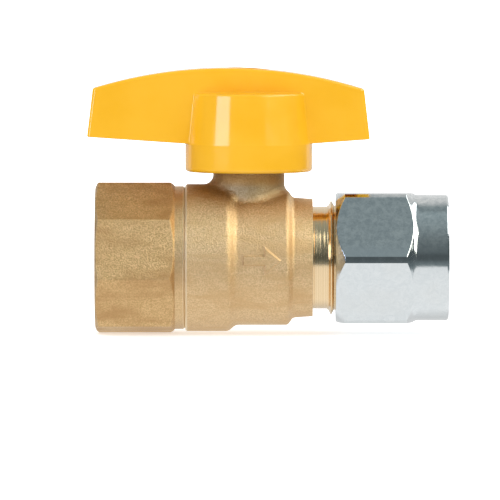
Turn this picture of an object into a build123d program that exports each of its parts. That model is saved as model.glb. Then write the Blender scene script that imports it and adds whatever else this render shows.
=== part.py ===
"""Gas ball valve, 3/4" female pipe thread by 5/8" flare, with a T-handle and its flare nut.

Millimetres. The origin is the ball's centre, where the flow axis X crosses the stem axis Z.
The female inlet is at -X, the flared outlet at +X, and the handle is at +Z, shown open.
"""

from build123d import *
from math import cos, radians, sin, sqrt, tan
import os

# ---- driving dimensions: stations along the flow axis ----------------------------------
INLET_FACE = -32.1            # open face of the octagonal female end
OCTAGON_END = -15.4           # where the octagon drops to the round neck
BODY_FACE = -13.3             # body's open end, which the end connector is screwed into
SPIGOT_END = -5.75            # inner end of the connector's spigot, clear of the stem's collar
LARGE_END = -4.9              # end of the large cylinder round the screwed joint
MID_START = -2.1              # start of the mid cylinder round the ball
MID_END = 7.6
COLLAR_START = 9.8
COLLAR_END = 13.35            # shoulder of the machined outlet neck
THREAD_START = 16.4
THREAD_END = 30.7
FLARE_TIP = 34.9
NUT_FACE = 18.15              # nut's face on the thread side
CONE_START = 32.9             # chamfer of the nut's corners, which runs out into its collar
CONE_END = 34.07
HEX_END = 35.4
NUT_END = 41.75

# ---- driving dimensions: outside radii and widths --------------------------------------
OCTAGON_FLATS = 30.3
OCTAGON_TURN = 13.8           # degrees about the flow axis from a corner at -Y
NECK_R = 14.95
LARGE_R = 15.4
MID_R = 14.1
COLLAR_R = 12.55
COLLAR_END_R = 12.3
ARROW_HEIGHT = 0.4
OUTLET_NECK_R = 10.7
NUT_FLATS = 26.99             # 1-1/16 inch
NUT_TURN = -0.7               # degrees about the flow axis from a corner at -Y
NUT_CORNER_R = 15.2           # corners of the hexagon turned down
NUT_EDGE_R = 0.2              # edges of the hexagon's faces eased
CONE_END_R = 13.78
NUT_COLLAR_R = 13.15

# ---- driving dimensions: inside --------------------------------------------------------
BALL_R = 10.75
PORT_R = 7.0                  # reduced port through the ball
BORE_R = 7.25                 # passage in the end connector
OUTLET_BORE_R = 6.35
SOCKET_R = 13.1               # root of the 3/4" pipe thread
SOCKET_DEPTH = 14.3
END_FACE_R = 14.6             # flat ring of the open end, outside its lead-in chamfer
CAVITY_R = 11.0
CAVITY_END = 4.6              # step from the ball's cavity to the outlet seat's pocket
SEAT_R = 10.0
SEAT_BORE_R = 7.2
SEAT_FRONT = 7.2              # distance of a seat's face from the ball's centre
SEAT_BACK = 11.65
TUBE_R = 8.1                  # nut's bore for the 5/8" tube
RUNNING = 0.05                # radial clearance of turning and screwed fits
SEAT_GAP = 0.03

# ---- driving dimensions: threads -------------------------------------------------------
JOINT_THREAD_R = 13.5         # M27x1 joint between body and end connector
JOINT_PITCH = 1.0
FLARE_THREAD_R = 11.905       # 15/16-16 UN
FLARE_PITCH = 1.5875
THREAD_DEPTH = 0.6134         # thread depth per unit of pitch

# ---- driving dimensions: stem, boss and handle -----------------------------------------
BOSS_R = 7.45
BOSS_TOP = 20.4
BOSS_FILLET = 2.0
STEM_R = 4.0
STEM_COLLAR_R = 5.4
STEM_FLATS = 5.6
STEM_TOP = 27.6
STEM_COLLAR_BOTTOM = 11.15
STEM_COLLAR_TOP = 12.9
COUNTERBORE_TOP = 13.9
TANG_BOTTOM = 8.6
TANG_WIDTH = 3.8
O_RING_GROOVES = (15.45, 18.15)
O_RING_GROOVE_R = 2.65
O_RING_GROOVE_WIDTH = 1.7
HUB_BOTTOM = 18.0
SKIRT_TOP = 23.8
HUB_TOP = 34.4
SKIRT_R = 13.3
HUB_TOP_R = 12.3
SCREW_SEAT = 29.4             # floor of the recess for the handle's screw
WASHER_THICKNESS = 0.9
WING_APEX_X = -4.6            # highest point of the wings' arc, and the ends of their plan
WING_LEFT_END = -34.6
WING_RIGHT_END = 26.1
WING_TOP = 39.75
WING_LEFT_TOP = (-32.6, 35.5)
WING_RIGHT_TOP = (24.1, 35.3)
WING_LEFT_BOTTOM = (-33.8, 25.35)
WING_RIGHT_BOTTOM = (25.3, 24.85)
WING_ROOT = (12.0, 23.9)      # where the wings' underside meets the hub
WING_HUB_THICKNESS = 10.8
WING_TIP_THICKNESS = 7.6
WALL = 2.0                    # wall of the die-cast handle
STOP_AZIMUTH = 45.0           # degrees from +X to the body's stop lug
STOP_WIDTH = 30.0             # degrees of the body's stop lug
QUARTER_TURN = 90.0
STOP_SLACK = 4.0              # degrees left free, 2 at each stop

FAR = 60.0                    # longer than anything it cuts


def revolved(points, axis=Axis.X):
    """Solid of revolution of a closed outline of (along, radius) points about X or (radius, up) about Z."""
    plane = Plane.XY if axis == Axis.X else Plane.XZ
    return revolve(plane * make_face(Polyline(*points, close=True)), axis, 360)


def ring(start, end, inner, outer, axis=Axis.X):
    """Plain ring between two stations on an axis."""
    if axis == Axis.X:
        return revolved([(start, inner), (end, inner), (end, outer), (start, outer)])
    return revolved([(inner, start), (outer, start), (outer, end), (inner, end)], Axis.Z)


def thread_points(start, end, crest_r, pitch):
    """Crest and root points of a row of thread rings, from start to end along the axis."""
    root_r = crest_r - THREAD_DEPTH * pitch
    points = []
    for turn in range(int((end - start) / pitch)):
        left = start + turn * pitch
        points += [(left + pitch / 8, root_r), (left + 7 * pitch / 16, crest_r),
                   (left + 9 * pitch / 16, crest_r), (left + 7 * pitch / 8, root_r)]
    return points


def torus(centre_r, section_r, station, axis=Axis.X):
    """O-ring about the flow axis or the stem axis."""
    middle = (station, centre_r) if axis == Axis.X else (centre_r, station)
    plane = Plane.XY if axis == Axis.X else Plane.XZ
    return revolve(plane * (Pos(*middle) * Circle(section_r)), axis, 360)


def prism(start, end, flats, sides, turn, corner_r=0):
    """Bar along X, its corners rounded if need be, turned about X from where one corner faces -Y."""
    outline = RegularPolygon(flats / 2, sides, major_radius=False)
    bar = Rot(turn, 0, 0) * Pos(start, 0, 0) * extrude(Plane.YZ * outline, end - start)
    return fillet(bar.edges().filter_by(Axis.X), corner_r) if corner_r else bar


def end_connector():
    """Octagonal female end with its screwed spigot, which holds the inlet seat."""
    bar = prism(INLET_FACE, OCTAGON_END, OCTAGON_FLATS, 8, OCTAGON_TURN, 0.8)
    flat_r = OCTAGON_FLATS / 2
    corner_r = flat_r + 1.4
    turning = revolved([
        (INLET_FACE, 0), (INLET_FACE, END_FACE_R), (INLET_FACE + 0.8, corner_r),
        (OCTAGON_END - 1.1, corner_r), (OCTAGON_END, flat_r - 0.3), (OCTAGON_END, 0)])
    end = bar & turning
    end = fillet(end.edges().filter_by(lambda e: e.center().X > OCTAGON_END - 1.2), 0.25)
    seal_start = BODY_FACE + 0.35
    seal_end = seal_start + 1.7
    thread_start = seal_end + 0.5
    spigot_r = JOINT_THREAD_R - THREAD_DEPTH * JOINT_PITCH
    land_r = JOINT_THREAD_R + 0.05
    spigot = revolved([
        (OCTAGON_END - 1, 0), (OCTAGON_END - 1, NECK_R), (BODY_FACE - 0.35, NECK_R),
        (BODY_FACE, NECK_R - 0.35), (BODY_FACE, land_r), (seal_start, land_r),
        (seal_start, 12.2), (seal_end, 12.2), (seal_end, land_r), (thread_start, land_r),
        (thread_start, spigot_r), *thread_points(thread_start, SPIGOT_END, JOINT_THREAD_R, JOINT_PITCH),
        (SPIGOT_END, spigot_r), (SPIGOT_END, 0)])
    shoulder = INLET_FACE + SOCKET_DEPTH
    socket = revolved([
        (INLET_FACE - 1, 0), (INLET_FACE - 1, SOCKET_R + 1.6), (INLET_FACE + 0.6, SOCKET_R),
        (shoulder, SOCKET_R), (shoulder + 1.2, SOCKET_R - 2.4), (shoulder + 1.2, 0)])
    passage = ring(-FAR, 0, 0, BORE_R) - ring(-SEAT_BACK, 0, 0, BORE_R + 1)
    pocket = ring(-SEAT_BACK - RUNNING, 0, 0, SEAT_R + RUNNING)
    return end + spigot - socket - passage - pocket


def outer_body():
    """Outside of the forged body with its stem boss, turned neck, flare thread and cone."""
    cone_r = OUTLET_BORE_R + 0.6
    cone_start = FLARE_TIP - (OUTLET_NECK_R - cone_r)
    root_r = FLARE_THREAD_R - THREAD_DEPTH * FLARE_PITCH
    forging = revolve(Plane.XY * make_face([
        Polyline((COLLAR_END, 0), (BODY_FACE, 0), (BODY_FACE, LARGE_R - 0.35),
                 (BODY_FACE + 0.35, LARGE_R), (LARGE_END, LARGE_R)),
        Spline((LARGE_END, LARGE_R), (MID_START, MID_R), tangents=((1, 0), (1, 0))),
        Line((MID_START, MID_R), (MID_END, MID_R)),
        Spline((MID_END, MID_R), (COLLAR_START, COLLAR_R), tangents=((1, 0), (1, 0))),
        Line((COLLAR_START, COLLAR_R), (COLLAR_END, COLLAR_END_R)),
        Line((COLLAR_END, COLLAR_END_R), (COLLAR_END, 0))]), Axis.X, 360)
    boss = ring(0, BOSS_TOP, 0, BOSS_R, Axis.Z)
    body = forging + boss
    seam = [e for e in body.edges()
            if e.bounding_box().max.Z < BOSS_TOP - 1 and e.bounding_box().min.Z > 5
            and max(abs(sqrt(p.X ** 2 + p.Y ** 2) - BOSS_R) for p in e.positions([0, 0.3, 0.7, 1])) < 0.01]
    body = fillet(seam, BOSS_FILLET)
    outlet = revolved([
        (COLLAR_END - 1, 0), (COLLAR_END - 1, OUTLET_NECK_R), (THREAD_START, OUTLET_NECK_R),
        (THREAD_START, root_r), *thread_points(THREAD_START, THREAD_END, FLARE_THREAD_R, FLARE_PITCH),
        (THREAD_END, root_r), (cone_start, OUTLET_NECK_R), (FLARE_TIP, cone_r), (FLARE_TIP, 0)])
    return body + outlet


def flow_arrow():
    """Plain raised arrow with sloping sides, on the body's front, that points the way of the flow."""
    tail, neck, tip, half, shaft = -1.3, 3.2, 6.8, 3.0, 1.1
    outline = Polyline((tail, -shaft), (neck, -shaft), (neck, -half), (tip, 0), (neck, half), (neck, shaft),
                       (tail, shaft), close=True)
    top_r = MID_R + ARROW_HEIGHT
    arrow = extrude(Plane.XZ * make_face(outline), FAR) & ring(-2, MID_END, MID_R - 1, top_r)
    upper = [e for e in arrow.edges()
             if all(abs(sqrt(p.Y ** 2 + p.Z ** 2) - top_r) < 0.001 for p in e.positions([0, 0.5, 1]))]
    return chamfer(upper, 0.3)


def body():
    """Forged body, bored for the screwed joint, the ball, the outlet seat and the stem."""
    solid = outer_body() + flow_arrow()
    joint_end = LARGE_END - 0.3
    joint_r = JOINT_THREAD_R + 0.1
    root_r = joint_r - THREAD_DEPTH * JOINT_PITCH
    thread_start = BODY_FACE + 2.55
    joint = revolved([
        (-FAR, 0), (-FAR, joint_r), (thread_start, joint_r), (thread_start, root_r),
        *thread_points(thread_start, SPIGOT_END, joint_r, JOINT_PITCH),
        (joint_end, root_r), (joint_end, 0)])
    cavity = ring(-FAR, CAVITY_END, 0, CAVITY_R)
    pocket = ring(0, SEAT_BACK + RUNNING, 0, SEAT_R + RUNNING)
    passage = ring(0, FAR, 0, OUTLET_BORE_R)
    stem_hole = ring(0, FAR, 0, STEM_R + RUNNING, Axis.Z)
    counterbore = ring(0, COUNTERBORE_TOP, 0, STEM_COLLAR_R + RUNNING, Axis.Z)
    stop = Rot(0, 0, STOP_AZIMUTH - STOP_WIDTH / 2) * revolve(
        Plane.XZ * (Pos(BOSS_R + 0.8, BOSS_TOP - 0.9) * Rectangle(3.4, 1.8)), Axis.Z, STOP_WIDTH)
    return solid + stop - joint - cavity - pocket - passage - stem_hole - counterbore


def seat(side):
    """PTFE seat ring, with its face hollowed to the ball and a rebate for its O-ring."""
    hollow_r = BALL_R + SEAT_GAP
    inner = (sqrt(hollow_r ** 2 - SEAT_BORE_R ** 2), SEAT_BORE_R)
    outer = (SEAT_FRONT, sqrt(hollow_r ** 2 - SEAT_FRONT ** 2))
    middle = (hollow_r * cos(radians(45)), hollow_r * sin(radians(45)))
    outline = make_face([
        ThreePointArc(inner, middle, outer),
        Polyline(outer, (SEAT_FRONT, SEAT_R), (SEAT_BACK - 1.55, SEAT_R), (SEAT_BACK - 1.55, SEAT_R - 1.6),
                 (SEAT_BACK, SEAT_R - 1.6), (SEAT_BACK, SEAT_BORE_R), inner)])
    solid = revolve(Plane.XY * outline, Axis.X, 360)
    return solid if side > 0 else mirror(solid, Plane.YZ)


def ball():
    """Ball with its port along X and, across it, the slot that the stem's tang turns."""
    slot = Pos(0, 0, TANG_BOTTOM - 0.2 + BALL_R / 2) * Box(TANG_WIDTH + 0.2, FAR, BALL_R)
    solid = Sphere(BALL_R) - ring(-FAR, FAR, 0, PORT_R) - slot
    mouth = solid.edges().filter_by(GeomType.CIRCLE).filter_by(lambda e: abs(e.radius - PORT_R) < 0.01)
    return chamfer(mouth, 0.3)


def stem():
    """Blow-out-proof stem: tang, collar, two O-ring grooves, drive flats and a tapped end."""
    shaft = revolved([
        (0, STEM_COLLAR_BOTTOM), (STEM_COLLAR_R, STEM_COLLAR_BOTTOM), (STEM_COLLAR_R, STEM_COLLAR_TOP),
        (STEM_R, STEM_COLLAR_TOP), (STEM_R, STEM_TOP - 0.4), (STEM_R - 0.4, STEM_TOP), (0, STEM_TOP)], Axis.Z)
    half = O_RING_GROOVE_WIDTH / 2
    for height in O_RING_GROOVES:
        shaft -= ring(height - half, height + half, O_RING_GROOVE_R, STEM_R + 1, Axis.Z)
    drive_bottom = BOSS_TOP + 0.4
    for side in (-1, 1):
        shaft -= Pos(0, side * (STEM_FLATS / 2 + 5), drive_bottom + 5) * Box(20, 10, 10)
    tang_height = STEM_COLLAR_BOTTOM - TANG_BOTTOM + 0.2
    tang = Pos(0, 0, TANG_BOTTOM + tang_height / 2) * Box(TANG_WIDTH, 8.4, tang_height)
    tapped = ring(drive_bottom, FAR, 0, 2.05, Axis.Z)
    return shaft + tang - tapped


def wing_plan(inset):
    """Plan outline of the wings: widest at the hub and narrower at the tips."""
    left, right = WING_LEFT_END + inset, WING_RIGHT_END - inset
    hub, tip = WING_HUB_THICKNESS / 2 - inset, WING_TIP_THICKNESS / 2 - inset
    return make_face(Polyline((left, -tip), (0, -hub), (right, -tip), (right, tip), (0, hub), (left, tip),
                              close=True))


def wing_front(inset, drop):
    """Front outline of the wings: a shallow arc on top, longer to the left of the stem."""
    left_top = (WING_LEFT_TOP[0] + inset, WING_LEFT_TOP[1] - inset)
    right_top = (WING_RIGHT_TOP[0] - inset, WING_RIGHT_TOP[1] - inset)
    left_bottom = (WING_LEFT_BOTTOM[0] + inset, WING_LEFT_BOTTOM[1] - drop)
    right_bottom = (WING_RIGHT_BOTTOM[0] - inset, WING_RIGHT_BOTTOM[1] - drop)
    root_x, root_z = WING_ROOT
    return make_face([
        ThreePointArc(left_top, (WING_APEX_X, WING_TOP - inset), right_top),
        Polyline(right_top, right_bottom, (root_x, root_z - drop), (-root_x, root_z - drop), left_bottom, left_top)])


def wings(inset, drop):
    """Solid of the wings, drawn in by inset all round and let down by drop at its underside."""
    front = Pos(0, FAR / 2, 0) * extrude(Plane.XZ * wing_front(inset, drop), FAR)
    plan = extrude(Plane.XY * wing_plan(inset), FAR)
    return front & plan


def rounded_wings():
    """Wings with their ends rounded in plan, and their long edges eased."""
    blade = wings(0, 0)
    far = [e for e in blade.edges() if abs(e.center().X) > 20]
    blade = fillet([e for e in far if e.bounding_box().size.Z > 5], 0.8)
    blade = fillet(blade.faces().sort_by(Axis.Z)[-1].edges(), 0.5)
    under = [e for e in blade.edges()
             if e.bounding_box().max.Z < 26 and abs(e.center().X) > SKIRT_R and e.bounding_box().size.X > 0.05]
    return fillet(under, 0.25)


def rounded_hub():
    """Round hub: a straight skirt, then a taper up to the rim."""
    hub = revolve(Plane.XZ * make_face(Polyline(
        (0, HUB_BOTTOM), (SKIRT_R, HUB_BOTTOM), (SKIRT_R, SKIRT_TOP), (HUB_TOP_R, HUB_TOP), (0, HUB_TOP),
        close=True)), Axis.Z, 360)
    rims = hub.edges().filter_by(GeomType.CIRCLE).sort_by(Axis.Z)
    hub = fillet([rims[0]], 0.8)
    rims = hub.edges().filter_by(GeomType.CIRCLE).sort_by(Axis.Z)
    return fillet([rims[-1]], 0.4)


def handle():
    """Die-cast T-handle: round hub over the boss, hollow wings and a recess for its screw."""
    outer = rounded_wings() + rounded_hub()
    seam = [e for e in outer.edges()
            if e.bounding_box().min.Z > SKIRT_TOP - 0.6 and e.bounding_box().max.Z < HUB_TOP + 0.3
            and e.bounding_box().size.Z > 4 and abs(e.center().X) < SKIRT_R and abs(e.center().Y) > 2]
    outer = fillet(seam, 0.5)
    hollow = wings(WALL, 8) - ring(0, FAR, 0, SKIRT_R, Axis.Z)
    skirt = ring(0, BOSS_TOP + 0.5, 0, SKIRT_R - WALL, Axis.Z)
    pocket = ring(BOSS_TOP, 29.0, 6.3, SKIRT_R - WALL - 0.8, Axis.Z)
    ribs = Box(FAR, 1.8, FAR) + Box(1.8, FAR, FAR)
    pocket -= Rot(0, 0, 45) * ribs
    socket = ring(0, STEM_TOP + 0.1, 0, STEM_R + RUNNING, Axis.Z) & Box(20, STEM_FLATS + 0.1, FAR * 2)
    screw_hole = ring(0, FAR, 0, 2.2, Axis.Z)
    recess = ring(SCREW_SEAT, FAR, 0, 4.2, Axis.Z)
    stop = stop_sector()
    return outer - hollow - skirt - pocket + stop - socket - screw_hole - recess


def stop_sector():
    """Rim inside the skirt that meets the body's stop lug at open and, turned clockwise, at closed."""
    free = QUARTER_TURN + STOP_WIDTH + STOP_SLACK
    first = STOP_AZIMUTH + STOP_WIDTH / 2 + STOP_SLACK / 2 + QUARTER_TURN
    sector = revolve(Plane.XZ * (Pos(9.9, BOSS_TOP - 0.9) * Rectangle(3.6, 2.8)), Axis.Z, 360 - free)
    return Rot(0, 0, first) * sector


def handle_screw():
    """Pan-head screw with a cross recess."""
    seat_height = SCREW_SEAT + WASHER_THICKNESS
    head = revolved([(0, seat_height), (3.7, seat_height), (3.7, seat_height + 1.6),
                     (2.9, seat_height + 2.5), (0, seat_height + 2.7)], Axis.Z)
    shank = ring(STEM_TOP - 6, seat_height + 0.1, 0, 2.0, Axis.Z)
    cross = Box(3.6, 0.8, 3.0) + Box(0.8, 3.6, 3.0)
    return head + shank - Pos(0, 0, seat_height + 2.5) * cross


def lock_washer():
    """Split spring washer under the screw's head."""
    gap = Pos(3, 0, SCREW_SEAT + WASHER_THICKNESS / 2) * Rot(35, 0, 0) * Box(4, 0.5, 4)
    return ring(SCREW_SEAT, SCREW_SEAT + WASHER_THICKNESS, 2.1, 3.65, Axis.Z) - gap


def flare_nut():
    """Hexagonal flare nut with a round collar, a 45 degree seat and the tube's bore."""
    face_r = NUT_FLATS / 2 - 0.2
    turning = revolve(Plane.XY * make_face([
        Polyline((NUT_FACE, 0), (NUT_FACE, face_r), (NUT_FACE + NUT_CORNER_R - face_r, NUT_CORNER_R),
                 (CONE_START, NUT_CORNER_R), (CONE_END, CONE_END_R)),
        Spline((CONE_END, CONE_END_R), (HEX_END, NUT_COLLAR_R),
               tangents=((CONE_END - CONE_START, CONE_END_R - NUT_CORNER_R), (1, 0))),
        Polyline((HEX_END, NUT_COLLAR_R), (NUT_END - 0.4, NUT_COLLAR_R), (NUT_END, NUT_COLLAR_R - 0.4),
                 (NUT_END, 0), (NUT_FACE, 0))]), Axis.X, 360)
    outside = prism(NUT_FACE, NUT_END, NUT_FLATS, 6, NUT_TURN) & turning
    outside = fillet([e for e in outside.edges() if NUT_FACE + 0.1 < e.center().X < CONE_END + 0.3], NUT_EDGE_R)
    crest_r = FLARE_THREAD_R + 0.08
    root_r = crest_r - THREAD_DEPTH * FLARE_PITCH
    first = THREAD_START + 2 * FLARE_PITCH
    relief_end = THREAD_END + 1.2
    seat_r = crest_r + 0.2
    inside = revolved([
        (NUT_FACE - 1, 0), (NUT_FACE - 1, crest_r + 1.4), (NUT_FACE + 0.9, crest_r), (first, crest_r - 0.5),
        *thread_points(first, THREAD_END, crest_r, FLARE_PITCH),
        (THREAD_END, root_r), (THREAD_END, seat_r), (relief_end, seat_r),
        (relief_end + seat_r - TUBE_R, TUBE_R), (NUT_END - 0.5, TUBE_R), (NUT_END + 0.5, TUBE_R + 1),
        (NUT_END + 0.5, 0)])
    return outside - inside


parts = {
    "body": body(),
    "end_connector": end_connector(),
    "body_o_ring": torus(12.9, 0.68, BODY_FACE + 1.2),
    "ball": ball(),
    "inlet_seat": seat(-1),
    "outlet_seat": seat(1),
    "inlet_seat_o_ring": torus(9.2, 0.74, -(SEAT_BACK - 0.76)),
    "outlet_seat_o_ring": torus(9.2, 0.74, SEAT_BACK - 0.76),
    "stem": stem(),
    "stem_thrust_washer": ring(STEM_COLLAR_TOP + 0.05, COUNTERBORE_TOP - 0.05, STEM_R + 0.1, 5.35, Axis.Z),
    "stem_o_ring_lower": torus(3.35, 0.68, O_RING_GROOVES[0], Axis.Z),
    "stem_o_ring_upper": torus(3.35, 0.68, O_RING_GROOVES[1], Axis.Z),
    "handle": handle(),
    "handle_screw": handle_screw(),
    "lock_washer": lock_washer(),
    "flare_nut": flare_nut(),
}

os.makedirs("parts", exist_ok=True)
for name, shape in parts.items():
    export_step(shape, f"parts/{name}.step")
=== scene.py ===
"""Looks, light and camera of the gas ball valve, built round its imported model.

Metres, in the model's own frame: flow along X, the open inlet at -X, the stem and handle along +Z.
"""

import math

import bpy
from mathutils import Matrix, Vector


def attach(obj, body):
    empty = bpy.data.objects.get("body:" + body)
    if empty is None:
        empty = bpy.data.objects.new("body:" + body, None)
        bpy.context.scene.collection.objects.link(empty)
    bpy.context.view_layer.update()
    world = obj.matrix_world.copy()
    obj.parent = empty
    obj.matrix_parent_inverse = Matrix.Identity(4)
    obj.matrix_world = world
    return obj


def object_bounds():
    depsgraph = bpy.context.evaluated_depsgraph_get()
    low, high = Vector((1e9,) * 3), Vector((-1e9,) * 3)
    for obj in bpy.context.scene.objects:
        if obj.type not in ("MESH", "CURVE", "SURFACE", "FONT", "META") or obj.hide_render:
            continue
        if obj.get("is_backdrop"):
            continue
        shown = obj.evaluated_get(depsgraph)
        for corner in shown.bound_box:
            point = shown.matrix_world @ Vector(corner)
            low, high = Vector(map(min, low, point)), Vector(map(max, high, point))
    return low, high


MM = 0.001

# ---- stations and radii of the valve that finishes and added pieces follow ---------------
OUTLET_NECK = 13.38 * MM          # turned outlet begins here
INLET_NECK = -15.38 * MM          # turned neck of the end connector begins here
BODY_FACE = -13.3 * MM            # chamfered seam of the body and the end connector
INSIDE_R = 11.9 * MM              # everything nearer the flow axis than this is machined
SOCKET_R = 13.1 * MM
THREAD_FROM = -31.5 * MM
THREAD_TO = -17.9 * MM
THREAD_PITCH = 25.4 / 14 * MM     # 14 threads per inch
THREAD_CREST_R = 11.83 * MM       # at the face; tapers 1 in 16 on diameter
THREAD_STEPS = 96                 # sections per turn

# ---- camera ------------------------------------------------------------------------------
CAMERA_DISTANCE = 1.8
CAMERA_ELEVATION = math.radians(2.7)
FRAME_WIDTH = 104.65 * MM         # what the square picture spans at the valve
LOOK_AT = Vector((0.25 * MM, 0, 1.57 * MM))
SENSOR = 36.0

# ---- light -------------------------------------------------------------------------------
GLOSS_LIGHTS = (
    # name, azimuth, elevation, width and height in degrees as seen from the valve, radiance, colour
    ("softbox_left", -51, 14, 28, 26, 4.8, (0.84, 0.96, 1.30)),
    ("softbox_right", 56, 34, 48, 46, 3.7, (1.0, 1.0, 0.88)),
    ("rim_right", 116, 42, 44, 44, 2.0, (1.0, 1.0, 1.0)))
TENT_LIGHTS = (
    # name, azimuth, elevation, radiance of a wide square that lights matt surfaces only
    ("tent_front", 0, 0, 1.26), ("tent_left", -90, 0, 1.12), ("tent_right", 90, 0, 1.22),
    ("tent_back", 180, 0, 1.1), ("tent_top", 0, 90, 1.1), ("tent_bottom", 0, -90, 0.15))
TENT_WIDTH = 90                   # degrees
LIGHT_DISTANCE = 3.2
SWEEP_NARROWING = 4.5             # the larger, the narrower the white sweep behind the valve
STUDIO = (
    # angle over the valve from the camera's side (0 level, 90 overhead, 180 behind), brightness
    (-180, 0.75), (-138, 0.72), (-105, 0.98), (-18, 0.93), (-15, 0.91), (-13, 0.24), (-7, 0.18), (-1, 0.10),
    (7, 0.10), (12, 0.145), (35, 0.20), (60, 0.32), (88, 0.40), (100, 0.29), (108, 0.29), (125, 0.68),
    (180, 0.90))

# ---- floor -------------------------------------------------------------------------------
FLOOR_SIZE = 4.0
# painted light: the floor's own glow rises from 0.45 to 1.0 between these distances from the valve
GLOW_FROM, GLOW_TO = 0.12, 0.6  # the valve's shadow fades out between these distances

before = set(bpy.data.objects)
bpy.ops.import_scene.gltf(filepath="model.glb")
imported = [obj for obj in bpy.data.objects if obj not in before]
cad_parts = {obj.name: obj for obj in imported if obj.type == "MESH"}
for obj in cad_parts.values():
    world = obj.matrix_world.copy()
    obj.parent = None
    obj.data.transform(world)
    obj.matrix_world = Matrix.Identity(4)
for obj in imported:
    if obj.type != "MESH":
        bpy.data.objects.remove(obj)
cad_low, cad_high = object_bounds()
scene = bpy.context.scene


class Graph:
    """Short names for building one node tree."""

    def __init__(self, tree):
        self.tree = tree
        tree.nodes.clear()

    def put(self, socket, value):
        if isinstance(value, bpy.types.NodeSocket):
            self.tree.links.new(value, socket)
        else:
            socket.default_value = value

    def add(self, kind, settings=None, **inputs):
        node = self.tree.nodes.new("ShaderNode" + kind)
        for key, value in (settings or {}).items():
            setattr(node, key, value)
        for key, value in inputs.items():
            self.put(node.inputs[key.replace("_", " ")], value)
        return node

    def math(self, operation, *values, clamp=False):
        node = self.add("Math", {"operation": operation, "use_clamp": clamp})
        for socket, value in zip(node.inputs, values):
            self.put(socket, value)
        return node.outputs[0]

    def split(self, vector):
        return self.add("SeparateXYZ", Vector=vector).outputs

    def length(self, first, second):
        squares = [self.math("MULTIPLY", value, value) for value in (first, second)]
        return self.math("SQRT", self.math("ADD", *squares))

    def step(self, value, low, high, start=0.0, end=1.0):
        node = self.add("MapRange", {"interpolation_type": "SMOOTHSTEP"}, Value=value, From_Min=low,
                        From_Max=high, To_Min=start, To_Max=end)
        return node.outputs["Result"]

    def noise(self, place, size, detail=3.0, roughness=0.5, distortion=0.0):
        node = self.add("TexNoise", Vector=place, Scale=1 / size, Detail=detail, Roughness=roughness,
                        Distortion=distortion)
        return node.outputs["Fac"]

    def lines(self, along, size, detail=4.0):
        """Noise that changes along one axis only, as turning marks do."""
        node = self.add("TexNoise", {"noise_dimensions": "1D"}, W=along, Scale=1 / size, Detail=detail,
                        Roughness=0.7)
        return node.outputs["Fac"]

    def blend(self, factor, first, second, kind="MIX"):
        node = self.add("Mix", {"data_type": "RGBA", "blend_type": kind, "clamp_factor": True})
        for socket, value in zip((node.inputs[0], node.inputs[6], node.inputs[7]), (factor, first, second)):
            self.put(socket, value)
        return node.outputs[2]

    def mix(self, factor, first, second):
        node = self.add("Mix", {"data_type": "FLOAT"})
        for socket, value in zip((node.inputs[0], node.inputs[2], node.inputs[3]), (factor, first, second)):
            self.put(socket, value)
        return node.outputs[0]

    def stretch(self, place, scale):
        node = self.add("VectorMath", {"operation": "MULTIPLY"})
        self.put(node.inputs[0], place)
        self.put(node.inputs[1], scale)
        return node.outputs["Vector"]

    def edge(self, radius, low=0.02, high=0.25):
        """1 along sharp edges: where the rounded normal leaves the true one."""
        rounded = self.add("Bevel", {"samples": 6}, Radius=radius).outputs["Normal"]
        true = self.add("NewGeometry").outputs["Normal"]
        dot = self.add("VectorMath", {"operation": "DOT_PRODUCT"})
        self.put(dot.inputs[0], rounded)
        self.put(dot.inputs[1], true)
        return self.step(self.math("SUBTRACT", 1.0, dot.outputs["Value"]), low, high)

    def bump(self, height, distance, normal=None):
        node = self.add("Bump", Strength=1.0, Distance=distance, Height=height)
        if normal is not None:
            self.put(node.inputs["Normal"], normal)
        return node.outputs["Normal"]


def rgb(red, green, blue):
    return (red, green, blue, 1.0)


def new_material(name):
    """A material with its graph, its object coordinates and a shader joined to its output."""
    material = bpy.data.materials.new(name)
    material.use_nodes = True
    g = Graph(material.node_tree)
    shader = g.add("BsdfPrincipled")
    g.add("OutputMaterial", Surface=shader.outputs["BSDF"])
    place = g.add("TexCoord").outputs["Object"]
    return material, g, shader, place


def flow_radius(g, place):
    """Distance from the flow axis."""
    _, y, z = g.split(place)
    return g.length(y, z)


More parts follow.
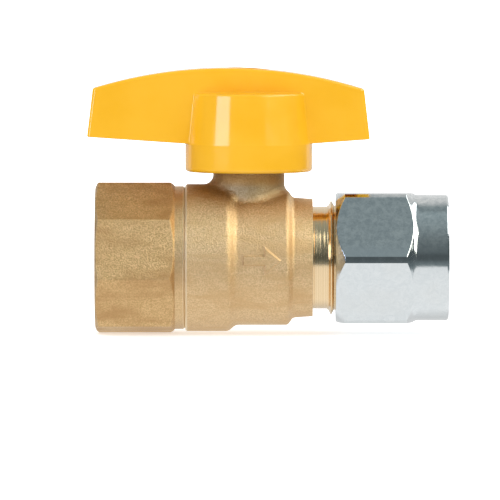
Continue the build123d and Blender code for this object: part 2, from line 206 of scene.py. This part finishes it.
def brass(name, turned_mask, dark, light, stain):
    """Brass with a fine as-forged grain and painted shade near the boss under the handle, and brighter
    turned brass where turned_mask(g, place) is 1.
    """
    material, g, shader, place = new_material(name)
    x, y, z = g.split(place)
    turned = turned_mask(g, place)
    drawn = g.stretch(place, (0.35, 1.0, 1.0))
    grain = g.noise(place, 0.32 * MM, 3.0, 0.6)
    pits = g.noise(drawn, 0.7 * MM, 4.0, 0.65, 0.3)
    dull = g.noise(drawn, 4.5 * MM, 4.0, 0.6, 0.5)
    streaks = g.noise(g.stretch(place, (0.12, 1.0, 1.0)), 0.8 * MM, 3.0, 0.6)
    # painted shade: the brass round the boss, under the handle, is darkened where the handle shades it
    under_handle_shade = g.math("MULTIPLY", g.step(z, 9.5 * MM, 15.0 * MM), g.step(g.length(x, y), 18 * MM, 8 * MM))
    marks = g.lines(x, 0.16 * MM)
    waves = g.lines(x, 0.9 * MM, 2.0)
    worn = g.edge(0.35 * MM)

    forged = g.blend(g.step(grain, 0.36, 0.64), dark, light)
    forged = g.blend(g.step(dull, 0.38, 0.68, 0.0, 0.65), forged, stain)
    forged = g.blend(g.step(streaks, 0.56, 0.74, 0.0, 0.45), forged, stain)
    # painted shade: a cool tint lower down and a warm one just under the handle, multiplied into the forged
    # colour
    under_handle_shade_tint = g.blend(g.step(z, 14.5 * MM, 16.5 * MM), rgb(0.58, 0.62, 0.66), rgb(0.72, 0.63, 0.46))
    forged = g.blend(under_handle_shade, forged, under_handle_shade_tint, "MULTIPLY")
    bright = g.blend(g.step(marks, 0.3, 0.7), rgb(0.82, 0.60, 0.34), rgb(0.93, 0.745, 0.495))
    colour = g.blend(turned, forged, bright)
    seam = g.step(g.math("ABSOLUTE", g.math("SUBTRACT", x, BODY_FACE)), 0.5 * MM, 0.36 * MM)
    rubbed = g.math("MAXIMUM", g.math("MULTIPLY", worn, 0.45), g.math("MULTIPLY", seam, 0.8))
    colour = g.blend(rubbed, colour, rgb(0.95, 0.80, 0.56))
    g.put(shader.inputs["Base Color"], colour)
    shader.inputs["Metallic"].default_value = 1.0

    rough = g.math("ADD", g.step(grain, 0.25, 0.75, 0.41, 0.57), g.step(dull, 0.3, 0.75, -0.03, 0.05))
    smooth = g.step(marks, 0.25, 0.75, 0.12, 0.20)
    g.put(shader.inputs["Roughness"], g.mix(turned, rough, smooth))

    cast = g.math("SUBTRACT", 1.0, turned)
    height = g.math("MULTIPLY", g.math("ADD", grain, g.math("MULTIPLY", pits, 0.5)), cast)
    ridges = g.math("ADD", g.math("MULTIPLY", marks, 0.16), g.math("MULTIPLY", waves, 0.55))
    height = g.math("ADD", height, g.math("MULTIPLY", ridges, turned))
    normal = g.bump(height, 0.16 * MM)
    normal = g.bump(g.math("MULTIPLY", dull, cast), 0.12 * MM, normal)
    g.put(shader.inputs["Normal"], normal)
    return material


def body_turned(g, place):
    """The body is turned from its outlet shoulder on, and machined inside."""
    x, _, _ = g.split(place)
    outlet = g.step(x, OUTLET_NECK - 0.02 * MM, OUTLET_NECK + 0.02 * MM)
    inside = g.step(flow_radius(g, place), INSIDE_R, INSIDE_R - 0.1 * MM)
    return g.math("MAXIMUM", outlet, inside)


def connector_turned(g, place):
    """The end connector keeps its drawn bar's skin on the octagon and is turned elsewhere."""
    x, _, _ = g.split(place)
    neck = g.step(x, INLET_NECK - 0.02 * MM, INLET_NECK + 0.02 * MM, 0.0, 0.25)
    inside = g.step(flow_radius(g, place), 14.3 * MM, 14.2 * MM)
    return g.math("MAXIMUM", neck, inside)


def all_turned(g, place):
    x, _, _ = g.split(place)
    return g.step(x, -1.0, -0.9)


def paint():
    """Glossy yellow enamel with a slight orange peel, thinner and paler on its edges."""
    material, g, shader, place = new_material("yellow_enamel")
    peel = g.noise(place, 1.6 * MM, 2.0, 0.4)
    cloud = g.noise(place, 11 * MM, 3.0, 0.5)
    speck = g.noise(place, 0.35 * MM, 3.0, 0.7)
    worn = g.edge(0.5 * MM)
    colour = g.blend(g.step(cloud, 0.3, 0.7), rgb(0.93, 0.475, 0.012), rgb(0.97, 0.515, 0.020))
    colour = g.blend(g.step(speck, 0.60, 0.75, 0.0, 0.25), colour, rgb(0.86, 0.40, 0.010))
    colour = g.blend(g.math("MULTIPLY", worn, 0.25), colour, rgb(0.99, 0.62, 0.07))
    g.put(shader.inputs["Base Color"], colour)
    g.put(shader.inputs["Roughness"], g.math("ADD", g.step(cloud, 0.3, 0.7, 0.12, 0.16),
                                             g.step(speck, 0.4, 0.7, 0.0, 0.04)))
    shader.inputs["IOR"].default_value = 1.5
    shader.inputs["Coat Weight"].default_value = 0.25
    shader.inputs["Coat Roughness"].default_value = 0.06
    g.put(shader.inputs["Normal"], g.bump(peel, 0.004 * MM))
    return material


def zinc():
    """Bright zinc plate on steel: mottled, bluish, and smoother than the brass."""
    material, g, shader, place = new_material("zinc_plate")
    mottle = g.noise(place, 1.6 * MM, 5.0, 0.65, 1.2)
    fine = g.noise(place, 0.28 * MM, 3.0, 0.6)
    cloud = g.noise(place, 6 * MM, 2.0, 0.5)
    film = g.noise(place, 1.3 * MM, 6.0, 0.75, 0.2)
    upper = g.step(g.split(place)[2], 1.0 * MM, 4.0 * MM)
    worn = g.edge(0.3 * MM)
    colour = g.blend(g.step(mottle, 0.32, 0.68), rgb(0.70, 0.745, 0.76), rgb(0.76, 0.80, 0.81))
    colour = g.blend(g.step(cloud, 0.4, 0.75, 0.0, 0.35), colour, rgb(0.72, 0.74, 0.73))
    handled = g.blend(g.step(film, 0.30, 0.70), rgb(0.54, 0.585, 0.595), rgb(0.90, 0.92, 0.90))
    colour = g.blend(g.math("MULTIPLY", upper, 0.8), colour, handled)
    colour = g.blend(g.math("MULTIPLY", worn, 0.5), colour, rgb(0.88, 0.90, 0.91))
    g.put(shader.inputs["Base Color"], colour)
    shader.inputs["Metallic"].default_value = 1.0
    g.put(shader.inputs["Roughness"], g.math("ADD", g.step(mottle, 0.3, 0.7, 0.07, 0.12),
                                             g.step(fine, 0.3, 0.7, 0.0, 0.03)))
    height = g.math("ADD", mottle, g.math("MULTIPLY", fine, 0.12))
    g.put(shader.inputs["Normal"], g.bump(height, 0.010 * MM))
    return material


def chrome():
    """Hard chrome on the ball, lapped, with faint polishing marks."""
    material, g, shader, place = new_material("lapped_chrome")
    marks = g.noise(place, 0.5 * MM, 4.0, 0.7, 2.0)
    cloud = g.noise(place, 5 * MM, 2.0, 0.5)
    colour = g.blend(g.step(cloud, 0.3, 0.7), rgb(0.70, 0.72, 0.74), rgb(0.78, 0.79, 0.80))
    g.put(shader.inputs["Base Color"], colour)
    shader.inputs["Metallic"].default_value = 1.0
    g.put(shader.inputs["Roughness"], g.step(marks, 0.3, 0.7, 0.06, 0.13))
    g.put(shader.inputs["Normal"], g.bump(marks, 0.002 * MM))
    return material


def soft(name, dark, light, rough, grain_size, height):
    """Matt moulded or cut plastic or rubber with a fine grain."""
    material, g, shader, place = new_material(name)
    grain = g.noise(place, grain_size, 3.0, 0.6)
    cloud = g.noise(place, grain_size * 9, 2.0, 0.5)
    colour = g.blend(g.step(grain, 0.3, 0.7), dark, light)
    colour = g.blend(g.step(cloud, 0.4, 0.8, 0.0, 0.5), colour, dark)
    g.put(shader.inputs["Base Color"], colour)
    g.put(shader.inputs["Roughness"], g.step(grain, 0.3, 0.7, rough, rough + 0.12))
    g.put(shader.inputs["Normal"], g.bump(grain, height))
    return material


def material_of_nodes():
    forged = brass("forged_brass_skin", body_turned, rgb(0.65, 0.445, 0.228), rgb(0.86, 0.635, 0.368),
                   rgb(0.68, 0.445, 0.215))
    bar = brass("bar_brass_skin", connector_turned, rgb(0.57, 0.365, 0.155), rgb(0.82, 0.57, 0.29),
                rgb(0.52, 0.30, 0.125))
    turned = brass("turned_brass", all_turned, rgb(0.7, 0.5, 0.27), rgb(0.8, 0.58, 0.33),
                   rgb(0.7, 0.48, 0.25))
    plate = zinc()
    ptfe = soft("ptfe_white", rgb(0.78, 0.77, 0.74), rgb(0.86, 0.86, 0.84), 0.42, 0.3 * MM, 0.004 * MM)
    rubber = soft("seal_rubber_black", rgb(0.012, 0.012, 0.013), rgb(0.028, 0.027, 0.026), 0.5, 0.2 * MM,
                  0.006 * MM)
    made = {"body": forged, "end_connector": bar, "stem": turned, "ball": chrome(), "handle": paint(),
            "flare_nut": plate, "handle_screw": plate, "lock_washer": plate}
    made.update({name: ptfe for name in ("inlet_seat", "outlet_seat", "stem_thrust_washer")})
    made.update({name: rubber for name in ("body_o_ring", "inlet_seat_o_ring", "outlet_seat_o_ring",
                                           "stem_o_ring_lower", "stem_o_ring_upper")})
    return made


def dress(obj, material):
    for slot in obj.material_slots:
        slot.material = material
    if not obj.material_slots:
        obj.data.materials.append(material)


def inlet_thread(material):
    """Helical ridge of the female pipe thread, closed, with its root in the socket's wall."""
    turns = (THREAD_TO - THREAD_FROM) / THREAD_PITCH
    count = int(turns * THREAD_STEPS)
    half = THREAD_PITCH / 2
    points, faces = [], []
    for i in range(count + 1):
        turn = i / THREAD_STEPS
        angle = 2 * math.pi * turn
        along = THREAD_FROM + turn * THREAD_PITCH
        fade = min(1.0, i / (0.6 * THREAD_STEPS), (count - i) / (0.9 * THREAD_STEPS))
        full = THREAD_CREST_R - (along - THREAD_FROM) / 32
        crest = SOCKET_R + (full - SOCKET_R) * max(fade, 0.02)
        root = SOCKET_R + 0.05 * MM
        for share, radius in ((-0.92, root), (-0.12, crest), (0.12, crest), (0.92, root)):
            station = along + share * half * max(fade, 0.3)
            points.append((station, radius * math.cos(angle), radius * math.sin(angle)))
    for i in range(count):
        for j in range(4):
            a, b = 4 * i + j, 4 * i + (j + 1) % 4
            faces.append((a, a + 4, b + 4, b))
    faces += [(0, 1, 2, 3), (4 * count + 3, 4 * count + 2, 4 * count + 1, 4 * count)]
    mesh = bpy.data.meshes.new("inlet_thread")
    mesh.from_pydata(points, [], faces)
    mesh.shade_smooth()
    mesh.set_sharp_from_angle(angle=math.radians(25))
    mesh.materials.append(material)
    thread = bpy.data.objects.new("inlet_thread", mesh)
    scene.collection.objects.link(thread)
    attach(thread, "housing")
    return thread


def make_camera():
    data = bpy.data.cameras.new("camera")
    data.sensor_width = SENSOR
    data.lens = SENSOR * CAMERA_DISTANCE / FRAME_WIDTH
    data.clip_start, data.clip_end = 0.01, 20.0
    camera = bpy.data.objects.new("camera", data)
    scene.collection.objects.link(camera)
    back = Vector((0, -math.cos(CAMERA_ELEVATION), math.sin(CAMERA_ELEVATION)))
    camera.location = LOOK_AT + back * CAMERA_DISTANCE
    camera.rotation_mode = "QUATERNION"
    camera.rotation_quaternion = (-back).to_track_quat("-Z", "Y")
    scene.camera = camera


def softbox(name, azimuth, elevation, wide, high, radiance, colour, shows):
    """Rectangular light, placed by its angles from the valve, with azimuth from the camera's side.

    It shows either in the gloss, as a reflection, or on matt surfaces, as soft light.
    """
    a, e = math.radians(azimuth), math.radians(elevation)
    out = Vector((math.sin(a) * math.cos(e), -math.cos(a) * math.cos(e), math.sin(e)))
    data = bpy.data.lights.new(name, "AREA")
    data.shape = "RECTANGLE"
    data.size = 2 * LIGHT_DISTANCE * math.tan(math.radians(wide / 2))
    data.size_y = 2 * LIGHT_DISTANCE * math.tan(math.radians(high / 2))
    data.energy = radiance * math.pi * data.size * data.size_y
    data.color = colour
    light = bpy.data.objects.new(name, data)
    scene.collection.objects.link(light)
    light.location = out * LIGHT_DISTANCE
    light.rotation_mode = "QUATERNION"
    light.rotation_quaternion = (-out).to_track_quat("-Z", "Y")
    light.visible_camera = False
    light.visible_glossy = shows == "gloss"
    light.visible_diffuse = shows == "matt"


def make_world():
    """White sweep behind and below, a dim cool room on the camera's side, plain white to the camera."""
    world = bpy.data.worlds.new("studio")
    scene.world = world
    world.use_nodes = True
    g = Graph(world.node_tree)
    x, y, z = g.split(g.add("TexCoord").outputs["Generated"])
    level = g.length(x, y)
    behind = g.math("DIVIDE", y, level)            # -1 on the camera's side, 1 straight behind
    behind = g.math("POWER", g.math("MULTIPLY_ADD", behind, 0.5, 0.5), SWEEP_NARROWING)
    behind = g.math("MULTIPLY_ADD", behind, 2.0, -1.0)
    angle = g.math("ARCTAN2", z, g.math("MULTIPLY", g.math("MULTIPLY", behind, level), -1.0))
    ramp = g.add("ValToRGB", Fac=g.math("MULTIPLY_ADD", angle, 1 / (2 * math.pi), 0.5))
    stops = ramp.color_ramp.elements
    for i, (degrees, bright) in enumerate(STUDIO):
        stop = stops[i] if i < 2 else stops.new(1.0)
        stop.position = (degrees + 180) / 360
        cool = -14 < degrees < 110
        stop.color = rgb(bright * (0.84 if cool else 1.0), bright, bright * (1.05 if cool else 1.0))
    seen = g.add("LightPath").outputs["Is Camera Ray"]
    shade = g.add("Background", Color=g.blend(seen, ramp.outputs["Color"], rgb(1, 1, 1)), Strength=1.0)
    g.add("OutputWorld", Surface=shade.outputs["Background"])
    world.cycles_visibility.diffuse = False


def make_floor(height):
    """Plain pale floor, just under the valve. It takes shadows and throws no light back itself, and glows
    with painted light that grows brighter away from the valve.
    """
    corners = [(-1, -1), (1, -1), (1, 1), (-1, 1)]
    mesh = bpy.data.meshes.new("floor")
    mesh.from_pydata([(FLOOR_SIZE * x, FLOOR_SIZE * y, height) for x, y in corners], [], [(0, 1, 2, 3)])
    material, g, shader, place = new_material("floor_paper")
    fibre = g.noise(place, 2.0 * MM, 3.0, 0.6)
    x, y, _ = g.split(place)
    away = g.length(x, y)
    g.put(shader.inputs["Base Color"], g.blend(fibre, rgb(0.90, 0.90, 0.90), rgb(0.93, 0.93, 0.93)))
    shader.inputs["Roughness"].default_value = 0.9
    shader.inputs["Specular IOR Level"].default_value = 0.0
    shader.inputs["Emission Color"].default_value = rgb(1, 1, 1)
    # painted light: the floor glows, dimmer near the valve and full white further off
    g.put(shader.inputs["Emission Strength"], g.step(away, GLOW_FROM, GLOW_TO, 0.45, 1.0))
    mesh.materials.append(material)
    floor = bpy.data.objects.new("floor", mesh)
    scene.collection.objects.link(floor)
    floor.visible_glossy = floor.visible_diffuse = floor.visible_shadow = False
    floor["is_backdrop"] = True


make_camera()
finishes = material_of_nodes()
for node, finish in finishes.items():
    dress(bpy.data.objects[node], finish)
inlet_thread(finishes["end_connector"])
make_floor(cad_low.z)
make_world()
for name, azimuth, elevation, wide, high, radiance, colour in GLOSS_LIGHTS:
    softbox(name, azimuth, elevation, wide, high, radiance, colour, "gloss")
for name, azimuth, elevation, radiance in TENT_LIGHTS:
    softbox(name, azimuth, elevation, TENT_WIDTH, TENT_WIDTH, radiance, (1, 1, 1), "matt")
scene.view_settings.view_transform = "Standard"

low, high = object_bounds()
